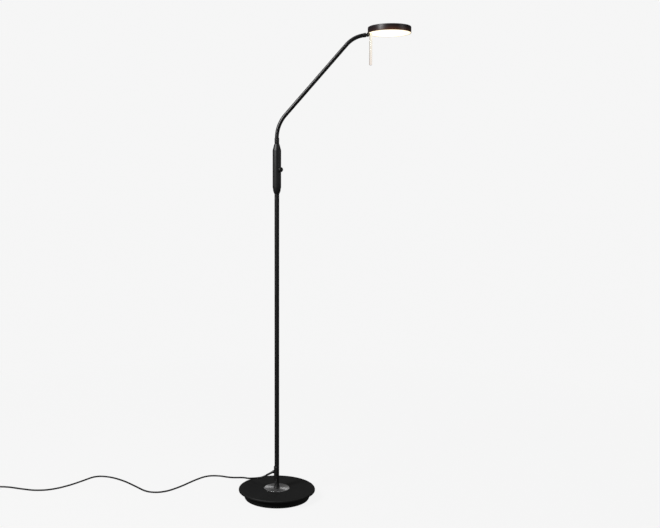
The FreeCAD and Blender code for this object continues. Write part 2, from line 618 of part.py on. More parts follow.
def make_head_face():
    """The white mirror ring, the opal face and the small plate that fills its notch."""
    mirror = over_head("mirror_blank", [
        ("mirror_inner + mirror_taper", "mirror_low"), ("mirror_outer", "mirror_low"),
        ("mirror_outer", "spreader_low"), ("mirror_inner", "spreader_low")])
    notch = bracket_notch("mirror_notch", "notch_half", "foot_end + gap + 2 * slip")
    node(cut("mirror_shape", mirror, notch), "mirror_ring")
    face = over_head("face_blank", [
        (0, "face_low"), ("face_radius", "face_low"), ("face_radius", "face_low + face_thick"),
        (0, "face_low + face_thick")])
    node(cut("face_shape", face, bracket_notch("face_notch", "notch_half", "plate_end + gap")), "opal_face")
    plate = box("plate_blank", ("plate_start", "-ear_outer", "face_low"),
                ("plate_end", "ear_outer", "face_low + plate_thick"))
    rod_hole = cylinder("plate_hole", "rod_radius + 2 * slip", "2 * past", x="rod_out",
                        z="face_low - past")
    node(cut("plate_shape", plate, rod_hole), "handle_plate")


def make_handle():
    """The clear rod, its socket under the bracket's foot, and the bracket's bolt."""
    rod = turned("rod_body", [
        (0, "rod_low"), ("rod_radius", "rod_low"), ("rod_radius", "rod_high"), (0, "rod_high")],
        x="rod_out")
    node(rounded(rod, "rod_radius / 2", [("rod_radius", "rod_low")]), "handle_rod")
    node(cylinder("socket_body", "rod_radius", "foot_low - rod_high", x="rod_out", z="rod_high"),
         "handle_socket")
    head = cylinder("bolt_top", "bolt_head", "bolt_head_thick", x="bolt_out",
                    z="foot_low - bolt_head_thick")
    shank = cylinder("bolt_shank", "bolt_radius", "head_top - shell_thick - foot_low - gap",
                     x="bolt_out", z="foot_low")
    node(fused("bolt_shape", head, shank), "bracket_bolt")


def cord_points():
    """The cord's route, from the tip of the strain relief to the coil's outer turn."""
    tip = Vector(0, 0, size("exit_high")) + exit_direction() * size("relief_end")
    return [tip] + [Vector(*point) for point in CORD_ROUTE] + [Vector(*COIL_ENTRY)]


def cord_radii(points):
    """Each corner's arc: as large as the shorter of its two runs allows."""
    radii = []
    for before, corner, after in zip(points, points[1:], points[2:]):
        turn = (corner - before).getAngle(after - corner)
        shorter = min(corner.distanceToPoint(before), corner.distanceToPoint(after))
        radii.append(0.45 * shorter / tan(turn / 2))
    return radii


def make_cord():
    """The mains cord along its route, its coil, and the flat two-pin plug beside the coil."""
    points = cord_points()
    radii = cord_radii(points)
    path = bent_path("cord_path", points, radii)
    tube = node(swept("cord_tube", path, "cord_radius"), "mains_cord")
    long = path.Shape.Length
    runs = [before.distanceToPoint(after) for before, after in zip(points, points[1:])]
    expected = long * pi * size("cord_radius") ** 2
    print("cord tube length", round(long), "radii", [round(radius) for radius in radii])
    print("cord runs", [round(run) for run in runs])
    print("cord volume over section x length", round(tube.Shape.Volume / expected, 4))
    coil = turned("coil_body", [
        ("coil_inner", 0), ("coil_outer", 0), ("coil_outer", "coil_thick"), ("coil_inner", "coil_thick")],
        x="coil_x", y="coil_y")
    node(rounded(coil, "coil_edge", [("coil_outer", 0), ("coil_outer", "coil_thick"), ("coil_inner", 0),
                             ("coil_inner", "coil_thick")]), "cord_coil")


def make_plug():
    """A flat two-pin plug that lies on the floor just past the coil, prongs away from the lamp."""
    west = Vector(-1, 0, 0)
    tip = Vector(size("plug_x"), size("plug_y"), size("plug_thick / 2"))
    back = tip + west * size("plug_neck_long")
    front = back + west * size("plug_long")
    neck = Part.makeCone(size("cord_radius + neck_grow"), size("plug_neck_radius"),
                         size("plug_neck_long"), tip, west)
    corner = Vector(front.x, tip.y - size("plug_wide / 2"), 0)
    block = Part.makeBox(size("plug_long"), size("plug_wide"), size("plug_thick"), corner)
    housing = doc.addObject("Part::Feature", "plug_housing")
    housing.Shape = block.makeFillet(size("plug_edge"), block.Edges).fuse(neck)
    housing.Placement = Placement()
    node(housing, "plug_body")
    prongs = []
    for side in (-0.5, 0.5):
        foot = front + Vector(0, side * size("prong_gap"), 0)
        prongs.append(Part.makeCylinder(size("prong_radius"), size("prong_long"), foot, west))
    group("plug_pins", prongs)


def check_document():
    """Stop if any object failed, or if a node's shape is empty or broken."""
    doc.recompute()
    for item in doc.Objects:
        if "Invalid" in item.State or "Error" in item.State:
            raise RuntimeError(f"{item.Label}: {item.State}")
    for item in nodes:
        if item.Shape.isNull() or not item.Shape.isValid() or item.Shape.Volume <= 0:
            raise RuntimeError(f"{item.Label} has no valid solid")


def write_parts():
    os.makedirs("parts", exist_ok=True)
    for item in nodes:
        item.Shape.exportStep(f"parts/{item.Label}.step")
    print(len(nodes), "nodes written")


fill_sheet()
make_base()
make_pole()
make_cable_outlet()
make_grip()
make_dimmer()
make_arm()
make_knuckle()
make_head_bracket()
make_head_shell()
make_head_face()
make_handle()
make_cord()
make_plug()
check_document()
write_parts()
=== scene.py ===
import json
from math import cos, pi, radians, sin, tan

import bmesh
import bpy
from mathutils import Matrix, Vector


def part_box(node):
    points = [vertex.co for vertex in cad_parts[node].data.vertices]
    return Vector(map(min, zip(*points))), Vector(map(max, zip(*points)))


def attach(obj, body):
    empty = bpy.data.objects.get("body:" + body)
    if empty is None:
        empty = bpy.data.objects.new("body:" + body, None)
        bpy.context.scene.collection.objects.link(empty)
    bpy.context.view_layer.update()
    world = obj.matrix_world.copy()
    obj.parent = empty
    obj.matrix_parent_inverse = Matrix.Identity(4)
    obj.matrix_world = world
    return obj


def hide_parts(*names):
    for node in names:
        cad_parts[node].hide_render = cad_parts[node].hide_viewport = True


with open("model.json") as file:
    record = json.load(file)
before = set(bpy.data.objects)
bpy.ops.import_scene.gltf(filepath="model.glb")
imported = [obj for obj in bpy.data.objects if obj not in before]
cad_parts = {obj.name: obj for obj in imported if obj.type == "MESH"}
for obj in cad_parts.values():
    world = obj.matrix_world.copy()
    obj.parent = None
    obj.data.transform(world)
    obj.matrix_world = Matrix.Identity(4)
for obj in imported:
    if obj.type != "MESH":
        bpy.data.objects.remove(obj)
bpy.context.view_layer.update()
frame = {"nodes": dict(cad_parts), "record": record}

# A pharmacy floor lamp, built round its CAD frame. Everything is in metres, +Z up, the arm towards +X.

ORIGIN = Vector((0, 0, 0))
UP = Vector((0, 0, 1))
WEST = Vector((-1, 0, 0))
NORTH = Vector((0, 1, 0))

EDGE = 0.0003             # the usual rounding on a made edge
FINE_EDGE = 0.0002        # a finer one, on the grip's cones
SHEET = 0.0015            # sheet metal of the base
HEAD_SHEET = 0.001        # and of the head
PAST = 0.01               # how far a cutting shape runs past its piece

TURNS = 128               # divisions round a turned piece
ON_AXIS = 0.0000001       # a ring with a smaller radius becomes one point
FLUTED = 0.9              # flutes are cut only beyond this share of the widest radius
SMOOTH_TO = radians(35)   # faces that meet at less are shaded as one surface

ARM_RADIUS = 0.00575
ARM_WALL = 0.001
ARM_CORNER = 1.1136                               # where the upright run meets the leaning one
ARM_CORNER_OUT = 0.2205                           # how far out that one meets the sloped end
ARM_BENDS = (0.100, 0.080)                        # the two bends' radii
END_SLOPE = radians(9)
END_WAY = Vector((cos(END_SLOPE), 0, sin(END_SLOPE)))
ARM_END = 0.0092                                  # from the tilt pin back to the tube's end
FERRULE = (0.0132, 0.0070)                        # from the tilt pin back to its two ends

GRIP_WALL = 0.0012
KNOB_AXIS = Vector((1, -1, 0)).normalized()
KNOB_HIGH = 0.9837
KNOB_REACH = (0.0135, 0.0205)                     # from the pole's axis to the knob's two ends

EXIT_SLOPE = radians(27)
EXIT_WAY = Vector((-cos(EXIT_SLOPE), 0, -sin(EXIT_SLOPE)))
EXIT_HEIGHT = 0.0833                              # where the relief's axis crosses the pole's
RELIEF_REACH = (0.014, 0.036)                     # the strain relief's two ends along its axis
RELIEF_RADII = (0.0034, 0.00295)                  # its radii at those ends

CORD_RADIUS = 0.0025
CORD_FALL = [                                     # from the relief over the rim to the floor
    (-0.045, 0, 0.0604), (-0.061, 0.007, 0.056), (-0.075, 0.021, 0.0504), (-0.088, 0.042, 0.0429),
    (-0.099, 0.066, 0.0368), (-0.110, 0.091, 0.0289), (-0.123, 0.117, 0.020),
    (-0.138, 0.143, 0.011), (-0.158, 0.168, 0.004),
]
CORD_FLOOR = [                                    # then over the floor
    (-0.188, 0.187), (-0.228, 0.185), (-0.264, 0.141), (-0.300, 0.083), (-0.345, 0.033),
    (-0.396, 0.032), (-0.441, 0.086), (-0.487, 0.138), (-0.538, 0.176), (-0.586, 0.184),
    (-0.617, 0.138), (-0.652, 0.092), (-0.696, 0.056), (-0.744, 0.048), (-0.794, 0.064),
    (-0.846, 0.084), (-0.897, 0.080),
]
CORD_INTO_COIL = (-0.940, 0.0852, 0.0027)
COIL_RADII = (0.0325, 0.0225)                     # the outermost and innermost turn's centreline
COIL_LAYERS = (0.0029, 0.0078)                    # each layer's height
COIL_ENTRY = radians(-97.4)                       # where the lead-in touches the outer turn
COIL_POINTS = 24                                  # control points round one turn

CLOUD_RANGE = (0.3, 0.7)                          # where most of a noise's values lie
RIPPLE_SIZE = 0.0022                              # the powder paint's two sizes of relief
PEBBLE_SIZE = 0.0006
MIX_INPUTS = (0, 6, 7)                            # a colour mix's share and its two colours
MIX_OUTPUT = 2

BACKDROP = 0.92                                   # how bright the surroundings look
SURROUND = 0.08                                   # how bright they are where they light the lamp
FLOOR_TONE = 0.885                                # how strongly the floor glows round the lamp


# ---------------------------------------------------------------- mesh helpers

def arcs(outline, steps=6):
    """An outline's corners as points. A corner's third value rounds it with a tangent arc."""
    points = []
    for index, corner in enumerate(outline):
        here = Vector(corner[:2])
        if len(corner) == 2:
            points.append(here)
            continue
        before = (Vector(outline[index - 1][:2]) - here).normalized()
        after = (Vector(outline[(index + 1) % len(outline)][:2]) - here).normalized()
        half = before.angle(after) / 2
        centre = here + (before + after).normalized() * (corner[2] / sin(half))
        first = here + before * (corner[2] / tan(half)) - centre
        last = here + after * (corner[2] / tan(half)) - centre
        turn = [first.slerp(last, step / steps).normalized() for step in range(steps + 1)]
        points += [centre + way * first.length for way in turn]
    return points


def smooth(mesh):
    """Smooth shading, apart from the sharp edges."""
    mesh.shade_smooth()
    mesh.set_sharp_from_angle(angle=SMOOTH_TO)


def finished(name, bm):
    """The bmesh as a new object with smooth shading."""
    bmesh.ops.recalc_face_normals(bm, faces=bm.faces)
    mesh = bpy.data.meshes.new(name)
    bm.to_mesh(mesh)
    bm.free()
    smooth(mesh)
    made = bpy.data.objects.new(name, mesh)
    bpy.context.scene.collection.objects.link(made)
    return made


def bridge(bm, rings, closed):
    """Faces between each ring of vertices and the next. A ring of one vertex is a pole."""
    pairs = list(zip(rings, rings[1:]))
    if closed:
        pairs.append((rings[-1], rings[0]))
    for one, two in pairs:
        count = max(len(one), len(two))
        if count == 1:
            continue
        for here in range(count):
            after = (here + 1) % count
            corners = [one[here % len(one)], one[after % len(one)],
                       two[after % len(two)], two[here % len(two)]]
            bm.faces.new(list(dict.fromkeys(corners)))


def lathe(name, outline, origin=ORIGIN, axis=UP, flutes=0, flute_depth=0.0):
    """A turned mesh. The outline goes once round its half section as (radius, height)."""
    turn = axis.to_track_quat("Z", "Y").to_matrix()
    widest = max(corner[0] for corner in outline)
    bm = bmesh.new()
    rings = []
    for radius, height in arcs(outline):
        ring = []
        for index in range(TURNS if radius > ON_AXIS else 1):
            angle = 2 * pi * index / TURNS
            reach = radius
            if radius > FLUTED * widest:
                reach -= flute_depth * (0.5 + 0.5 * cos(flutes * angle))
            spot = Vector((reach * cos(angle), reach * sin(angle), height))
            ring.append(bm.verts.new(origin + turn @ spot))
        rings.append(ring)
    bridge(bm, rings, closed=True)
    return finished(name, bm)


def tube(name, path, outer, inner, sides=48):
    """A hollow bar along a path that lies in an upright plane along X."""
    ways = []
    for index in range(len(path)):
        before = path[max(index - 1, 0)]
        after = path[min(index + 1, len(path) - 1)]
        ways.append((after - before).normalized())
    bm = bmesh.new()
    rings = []
    for radius, order in ((outer, range(len(path))), (inner, reversed(range(len(path))))):
        for index in order:
            across = ways[index].cross(NORTH)
            ring = []
            for side in range(sides):
                angle = 2 * pi * side / sides
                ring.append(bm.verts.new(
                    path[index] + radius * (cos(angle) * across + sin(angle) * NORTH)))
            rings.append(ring)
    bridge(bm, rings, closed=True)
    return finished(name, bm)


def rounded_box(angle, square):
    """The point at that angle of a shape between a circle (square 2) and a box (square high)."""
    return [abs(part) ** (2 / square) * (1 if part >= 0 else -1) for part in (cos(angle), sin(angle))]


def loft(name, sections, sides=64):
    """A closed skin over rounded-box sections (middle, half width, half height, squareness)
    that stand across the X axis."""
    bm = bmesh.new()
    rings = []
    for middle, wide, high, square in sections:
        ring = []
        for side in range(sides):
            across, upward = rounded_box(2 * pi * side / sides, square)
            ring.append(bm.verts.new(middle + Vector((0, wide * across, high * upward))))
        rings.append(ring)
    bridge(bm, rings, closed=False)
    bm.faces.new(rings[0])
    bm.faces.new(rings[-1])
    return finished(name, bm)


def block(name, low, high):
    """A plain block between two corners, only ever used to cut with."""
    bm = bmesh.new()
    bmesh.ops.create_cube(bm, size=1)
    for vertex in bm.verts:
        vertex.co = Vector([(a + b) / 2 + c * (b - a) for a, b, c in zip(low, high, vertex.co)])
    return finished(name, bm)


def drill(name, height, axis, radius):
    """A round bar that starts on the pole's axis, only ever used to cut with."""
    long = 0.02
    return lathe(name, [(0, 0), (radius, 0), (radius, long), (0, long)],
                 origin=UP * height, axis=axis)


def carve(obj, *cutters):
    """Takes the cutters' shapes out of obj and deletes them."""
    for cutter in cutters:
        tool = obj.modifiers.new("carve", "BOOLEAN")
        tool.solver = "EXACT"
        tool.object = cutter
    graph = bpy.context.evaluated_depsgraph_get()
    mesh = bpy.data.meshes.new_from_object(obj.evaluated_get(graph))
    obj.modifiers.clear()
    obj.data = mesh
    smooth(mesh)
    for cutter in cutters:
        bpy.data.objects.remove(cutter)
    return obj


# ------------------------------------------------------------ material helpers

class Look:
    """A procedural material that is put together round one Principled shader."""

    def __init__(self, name, colour, roughness, metallic=0.0, specular=0.5):
        self.material = bpy.data.materials.new(name)
        self.material.use_nodes = True
        self.tree = self.material.node_tree
        self.shader = self.tree.nodes["Principled BSDF"]
        self.shader.inputs["Base Color"].default_value = (*colour, 1)
        self.shader.inputs["Roughness"].default_value = roughness
        self.shader.inputs["Metallic"].default_value = metallic
        self.shader.inputs["Specular IOR Level"].default_value = specular
        self.place = self.node("TexCoord").outputs["Object"]
        self.normal = None

    def feed(self, socket, value):
        """Puts a plain value or another node's output on a socket."""
        if isinstance(value, bpy.types.NodeSocket):
            self.tree.links.new(value, socket)
        else:
            socket.default_value = value

    def node(self, kind, **inputs):
        """A new node, with plain values or other nodes' outputs on its inputs."""
        made = self.tree.nodes.new("ShaderNode" + kind)
        for name, value in inputs.items():
            self.feed(made.inputs[name.replace("_", " ")], value)
        return made

    def set(self, name, value):
        """A plain value or another node's output on the shader itself."""
        self.feed(self.shader.inputs[name], value)

    def math(self, operation, *values):
        """A calculation on plain values or other nodes' outputs."""
        made = self.tree.nodes.new("ShaderNodeMath")
        made.operation = operation
        for socket, value in zip(made.inputs, values):
            self.feed(socket, value)
        return made.outputs["Value"]

    def stretched(self, stretch):
        """The place on the piece, scaled by a different amount along each axis."""
        return self.node("Mapping", Vector=self.place, Scale=stretch).outputs["Vector"]

    def noise(self, size, detail=3, stretch=(1, 1, 1)):
        """Cloudy values from 0 to 1, with patches of about that size in metres."""
        vector = self.stretched(stretch)
        made = self.node("TexNoise", Vector=vector, Scale=1 / size, Detail=detail)
        return made.outputs["Fac"]

    def cells(self, size, output="Distance"):
        """Round cells of about that size in metres."""
        return self.node("TexVoronoi", Vector=self.place, Scale=1 / size).outputs[output]

    def cell_tones(self, size):
        """Cells of about that size in metres, each with one value of its own."""
        colours = self.cells(size, "Color")
        return self.node("SeparateColor", Color=colours).outputs["Red"]

    def axis(self, letter):
        """The place along one axis, in metres."""
        return self.node("SeparateXYZ", Vector=self.place).outputs[letter]

    def radius(self, centre=ORIGIN):
        """The distance from an upright axis, in metres."""
        moved = self.node("Mapping", Vector=self.place, Location=-centre).outputs["Vector"]
        flat = self.node("SeparateXYZ", Vector=moved)
        squares = [self.math("POWER", self.math("ABSOLUTE", flat.outputs[letter]), 2.0)
                   for letter in "XY"]
        return self.math("SQRT", self.math("ADD", *squares))

    def ramp(self, value, low, high, to_low=0.0, to_high=1.0):
        """The value's range from low to high, spread over to_low to to_high and no further."""
        made = self.node("MapRange", Value=value, From_Min=low, From_Max=high,
                         To_Min=to_low, To_Max=to_high)
        return made.outputs["Result"]

    def mix(self, share, one, two):
        """A colour between two, each a plain colour or another node's output."""
        made = self.tree.nodes.new("ShaderNodeMix")
        made.data_type = "RGBA"
        for index, value in zip(MIX_INPUTS, (share, one, two)):
            colour = (*value, 1) if isinstance(value, tuple) else value
            self.feed(made.inputs[index], colour)
        return made.outputs[MIX_OUTPUT]

    def colour(self, share, one, two):
        """The surface's colour, between two."""
        self.set("Base Color", self.mix(share, one, two))

    def rough(self, cloud, at_low, at_high):
        """The surface's roughness at a noise's low values and at its high ones."""
        self.set("Roughness", self.ramp(cloud, *CLOUD_RANGE, at_low, at_high))

    def bump(self, height, depth, strength=1.0):
        """Relief of that depth in metres, on top of any relief before it."""
        made = self.node("Bump", Height=height, Distance=depth, Strength=strength)
        if self.normal:
            self.tree.links.new(self.normal, made.inputs["Normal"])
        self.normal = made.outputs["Normal"]
        self.set("Normal", self.normal)


def grey(level):
    return (level, level, level)


def powder_coat(name, dark, light, roughness, specular=0.5):
    """Powder paint: pebbles over wider ripples, and faint clouds of colour."""
    look = Look(name, dark, roughness, specular=specular)
    clouds = look.noise(0.06, detail=4)
    look.colour(look.ramp(clouds, 0.35, 0.7), dark, light)
    pebbles = look.noise(PEBBLE_SIZE, detail=2)
    from_clouds = 0.08
    from_pebbles = 0.06
    wear = look.math("ADD", look.math("MULTIPLY", clouds, from_clouds),
                     look.math("MULTIPLY", pebbles, from_pebbles))
    smoothest = roughness - (from_clouds + from_pebbles) / 2
    look.set("Roughness", look.math("ADD", wear, smoothest))
    look.bump(look.noise(RIPPLE_SIZE, detail=2), depth=0.00001, strength=0.4)
    look.bump(pebbles, depth=0.00002, strength=0.5)
    return look.material


def black_paint():
    return powder_coat("black_paint", (0.0085, 0.0085, 0.0088), grey(0.0125), roughness=0.42)


def base_paint():
    """A little darker and more matt, for the base."""
    return powder_coat("base_paint", (0.0075, 0.0075, 0.0077), grey(0.011), roughness=0.58,
                       specular=0.35)


def grip_paint():
    """A little paler, for the grip."""
    return powder_coat("grip_paint", grey(0.013), (0.019, 0.019, 0.0185), roughness=0.44)


def arm_paint():
    """Darker and glossier, for the arm."""
    return powder_coat("arm_paint", grey(0.005), grey(0.008), roughness=0.3, specular=0.65)


def black_satin():
    """Smooth paint on the small turned parts, with faint marks round them."""
    look = Look("black_satin", grey(0.012), 0.3)
    clouds = look.noise(0.012)
    look.colour(clouds, grey(0.011), grey(0.018))
    look.rough(clouds, 0.26, 0.36)
    look.bump(look.noise(0.0005, detail=2, stretch=(0.3, 0.3, 2)), depth=0.00002, strength=0.5)
    return look.material


def black_plastic():
    """Moulded plastic with a fine grain."""
    look = Look("black_plastic", grey(0.01), 0.38)
    grain = look.cells(0.0005)
    look.colour(grain, grey(0.008), grey(0.014))
    look.rough(look.noise(0.008), 0.33, 0.43)
    look.bump(grain, depth=0.00003, strength=0.6)
    return look.material


def black_rubber():
    """Soft matt rubber with paler, dusty patches."""
    look = Look("black_rubber", grey(0.01), 0.6)
    dust = look.noise(0.004, detail=5)
    look.colour(look.ramp(dust, 0.5, 0.8), grey(0.009), (0.024, 0.023, 0.022))
    look.rough(dust, 0.55, 0.7)
    look.bump(look.noise(0.0004, detail=2), depth=0.00003, strength=0.6)
    return look.material


def black_foam():
    """Foam with small pores."""
    look = Look("black_foam", grey(0.012), 0.9, specular=0.2)
    pores = look.cells(0.0007)
    look.colour(pores, grey(0.006), grey(0.022))
    look.bump(pores, depth=0.0002, strength=0.9)
    return look.material


def black_screw():
    """Blackened steel, paler and smoother on its high spots."""
    look = Look("black_screw", grey(0.02), 0.35, metallic=0.8)
    rub = look.noise(0.0012, detail=4)
    look.colour(look.ramp(rub, 0.6, 0.75), grey(0.018), (0.09, 0.085, 0.08))
    look.rough(rub, 0.45, 0.28)
    look.bump(rub, depth=0.00003, strength=0.5)
    return look.material


def cast_iron():
    """Rough grey iron with sand marks and a trace of rust."""
    look = Look("cast_iron", grey(0.1), 0.75, metallic=0.6)
    sand = look.noise(0.0012, detail=6)
    rust = look.ramp(look.noise(0.03, detail=5), 0.55, 0.75)
    metal = look.mix(sand, (0.06, 0.06, 0.062), grey(0.15))
    look.colour(rust, metal, (0.13, 0.055, 0.025))
    look.bump(sand, depth=0.0003, strength=0.8)
    return look.material


def brushed_steel():
    """The disc's circular brushing: fine rings that draw the light out into sectors."""
    look = Look("brushed_steel", grey(0.2), 0.36, metallic=1.0)
    ring_size = 0.00035
    rings = look.node("TexNoise", Scale=1 / ring_size, Detail=3)
    rings.noise_dimensions = "1D"
    look.feed(rings.inputs["W"], look.radius())
    lines = rings.outputs["Fac"]
    look.colour(look.ramp(lines, *CLOUD_RANGE), (0.66, 0.66, 0.665), (0.9, 0.9, 0.905))
    look.rough(lines, 0.36, 0.5)
    tangent = look.tree.nodes.new("ShaderNodeTangent")
    tangent.direction_type = "RADIAL"
    tangent.axis = "Z"
    look.set("Anisotropic", 0.75)
    look.set("Tangent", tangent.outputs["Tangent"])
    look.bump(lines, depth=0.00002, strength=0.4)
    return look.material


def bright_metal(name, dark, light, roughness):
    """Worked metal with blotches and fine scratches."""
    look = Look(name, light, roughness, metallic=1.0)
    blotches = look.cell_tones(0.003)
    scratches = look.noise(0.0006, stretch=(1, 6, 1))
    look.colour(look.math("MULTIPLY", blotches, scratches), light, dark)
    spread = 0.08
    look.rough(scratches, roughness - spread, roughness + spread)
    look.bump(scratches, depth=0.00001, strength=0.5)
    return look.material


def zinc_steel():
    return bright_metal("zinc_steel", (0.42, 0.44, 0.46), (0.66, 0.66, 0.64), roughness=0.32)


def brass():
    return bright_metal("brass", (0.45, 0.31, 0.12), (0.78, 0.6, 0.3), roughness=0.28)


def plug_metal():
    return bright_metal("plug_metal", (0.55, 0.53, 0.48), (0.8, 0.78, 0.72), roughness=0.18)


def aluminium():
    """Rolled sheet: long straight streaks along X."""
    look = Look("aluminium", (0.7, 0.7, 0.71), 0.4, metallic=1.0)
    streaks = look.noise(0.0008, detail=4, stretch=(0.05, 1, 1))
    look.colour(streaks, (0.58, 0.58, 0.6), grey(0.8))
    look.rough(streaks, 0.32, 0.5)
    look.bump(streaks, depth=0.00002, strength=0.5)
    return look.material


def board(name, mask, track, size):
    """A circuit board: solder mask with raised tracks."""
    look = Look(name, mask, 0.35)
    tracks = look.node("TexBrick", Vector=look.place, Scale=1 / size, Mortar_Size=0.06)
    lines = tracks.outputs["Fac"]
    look.colour(look.math("MULTIPLY", lines, 0.7), mask, track)
    look.bump(lines, depth=0.00004, strength=0.6)
    look.bump(look.noise(0.0005, detail=2), depth=0.00001, strength=0.4)
    return look.material


def circuit_board():
    return board("circuit_board", (0.01, 0.09, 0.03), (0.03, 0.2, 0.06), size=0.006)


def white_board():
    return board("white_board", (0.8, 0.8, 0.77), (0.68, 0.68, 0.62), size=0.02)


def grey_parts():
    """Moulded component cases, in patches of several greys."""
    look = Look("grey_parts", (0.06, 0.06, 0.07), 0.5)
    look.colour(look.cell_tones(0.008), (0.025, 0.025, 0.03), (0.11, 0.11, 0.12))
    look.bump(look.noise(0.0003, detail=2), depth=0.00002, strength=0.5)
    return look.material


def led():
    """Lit phosphor, with small paler spots."""
    look = Look("led", (1.0, 0.78, 0.3), 0.5)
    phosphor = look.noise(0.0004)
    glow = look.mix(phosphor, (1.0, 0.74, 0.36), (1.0, 0.86, 0.55))
    look.colour(phosphor, (0.95, 0.68, 0.2), (1.0, 0.85, 0.4))
    look.set("Emission Color", glow)
    look.set("Emission Strength", 4.0)
    look.bump(phosphor, depth=0.00003, strength=0.5)
    return look.material


def white_plastic():
    """White plastic. It glows by itself, in place of the LEDs' light that would fall on it."""
    look = Look("white_plastic", (0.85, 0.84, 0.8), 0.45)
    look.set("Emission Color", (1.0, 0.92, 0.76, 1))
    look.set("Emission Strength", 0.6)
    clouds = look.noise(0.006)
    look.colour(clouds, (0.8, 0.79, 0.74), (0.88, 0.87, 0.84))
    look.rough(clouds, 0.4, 0.52)
    look.bump(look.noise(0.0004, detail=2), depth=0.00002, strength=0.5)
    return look.material


def opal(centre, radius):
    """The lit face: nearly even, warmer and a little weaker towards its rim."""
    look = Look("opal", (0.9, 0.88, 0.82), 0.35)
    even_part = 0.72
    out = look.ramp(look.radius(centre), radius * even_part, radius)
    cloud = look.ramp(look.noise(0.02), *CLOUD_RANGE, to_high=0.25)
    glow = look.mix(look.math("MAXIMUM", out, cloud), (1.0, 0.95, 0.84), (1.0, 0.84, 0.56))
    look.set("Emission Color", glow)
    look.set("Emission Strength", look.ramp(out, 0, 1, to_low=1.7, to_high=1.25))
    look.bump(look.noise(0.0008, detail=2), depth=0.00002, strength=0.4)
    return look.material


def clear_acrylic(centre, radius, low, high):
    """The clear rod. It glows faintly towards its top with painted light from the head, and has a grey
    tint on its -X side that is painted shade.
    """
    look = Look("clear_acrylic", (1.0, 0.98, 0.95), 0.04)
    look.set("Transmission Weight", 1.0)
    look.set("IOR", 1.49)
    height = look.ramp(look.axis("Z"), low, high)
    across = look.math("SUBTRACT", look.axis("X"), centre.x)
    # Painted shade: the rod's -X side is tinted grey, as the side turned away from the light.
    painted_shade_full = -0.8
    painted_shade_gone = -0.2
    side = look.ramp(across, painted_shade_full * radius, painted_shade_gone * radius)
    # Painted light: faint patches in the colour of the rod's glow.
    painted_glow_patches = look.noise(0.02)
    # Painted light: a warm tint, peach low down and cream towards the top, for the head's light
    # carried down the rod. It colours both the rod and its glow.
    painted_glow_tint = look.mix(height, (0.99, 0.88, 0.8), (1.0, 0.97, 0.82))
    look.colour(side, (0.34, 0.31, 0.3), painted_glow_tint)
    look.set("Emission Color", look.mix(look.math("MULTIPLY", painted_glow_patches, 0.2), painted_glow_tint, (1.0, 1.0, 0.9)))
    # Painted light: the rod glows more towards its top, though it is no lamp.
    look.set("Emission Strength", look.ramp(height, 0, 1, to_high=0.03))
    look.bump(look.noise(0.003, detail=2, stretch=(1, 1, 0.1)), depth=0.000005, strength=0.3)
    return look.material


def cord_sheath():
    """Extruded PVC with paler scuffs."""
    look = Look("cord_sheath", grey(0.008), 0.4)
    scuffs = look.noise(0.003, detail=5)
    look.colour(look.ramp(scuffs, 0.55, 0.8), grey(0.007), grey(0.02))
    look.rough(scuffs, 0.36, 0.52)
    look.bump(look.noise(0.0007, detail=2), depth=0.00002, strength=0.5)
    return look.material


def head_paint(centre, radius, low, high):
    """The head's powder paint, with a faint painted glow along its lower edge, most in the middle, for
    the face's light that creeps round the rim.
    """
    look = Look("head_paint", (0.014, 0.0095, 0.0105), 0.4)
    clouds = look.noise(0.05)
    look.colour(clouds, (0.012, 0.008, 0.009), (0.019, 0.0125, 0.0145))
    look.rough(clouds, 0.34, 0.42)
    # Painted light: a warm glow, strongest at the lower edge and in the middle, though the housing is
    # no lamp.
    painted_glow_fade = look.ramp(look.axis("Z"), low, high, to_low=1, to_high=0)
    off_middle = look.math("ABSOLUTE", look.math("SUBTRACT", look.axis("X"), centre.x))
    middling = look.ramp(off_middle, 0, radius, to_low=1, to_high=0.15)
    glow = look.math("MULTIPLY", look.math("POWER", painted_glow_fade, 2.0), middling)
    look.set("Emission Color", look.mix(painted_glow_fade, (0.3, 0.12, 0.08), (0.55, 0.17, 0.05)))
    look.set("Emission Strength", look.math("MULTIPLY", glow, 0.16))
    look.bump(look.noise(RIPPLE_SIZE, detail=2), depth=0.00001, strength=0.4)
    look.bump(look.noise(PEBBLE_SIZE, detail=2), depth=0.00001, strength=0.5)
    return look.material


# ----------------------------------------------------------------- the pieces

def box_centre(node):
    """The middle of a CAD node's box."""
    low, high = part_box(node)
    return (low + high) / 2


def middle(node):
    """A CAD node's middle seen from above, as a point on the floor."""
    spot = box_centre(node)
    return Vector((spot.x, spot.y, 0))


def heights(node):
    """A CAD node's widest radius across Y, its bottom and its top."""
    low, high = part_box(node)
    return (high.y - low.y) / 2, low.z, high.z


def add(obj, body, slot, *nodes, look=None):
    """Finishes a piece: its material, the body it rides on and the CAD nodes it stands for."""
    obj.data.materials.clear()
    obj.data.materials.append(look or slot_look[slot])
    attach(obj, body)
    if nodes:
        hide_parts(*nodes)
    return obj


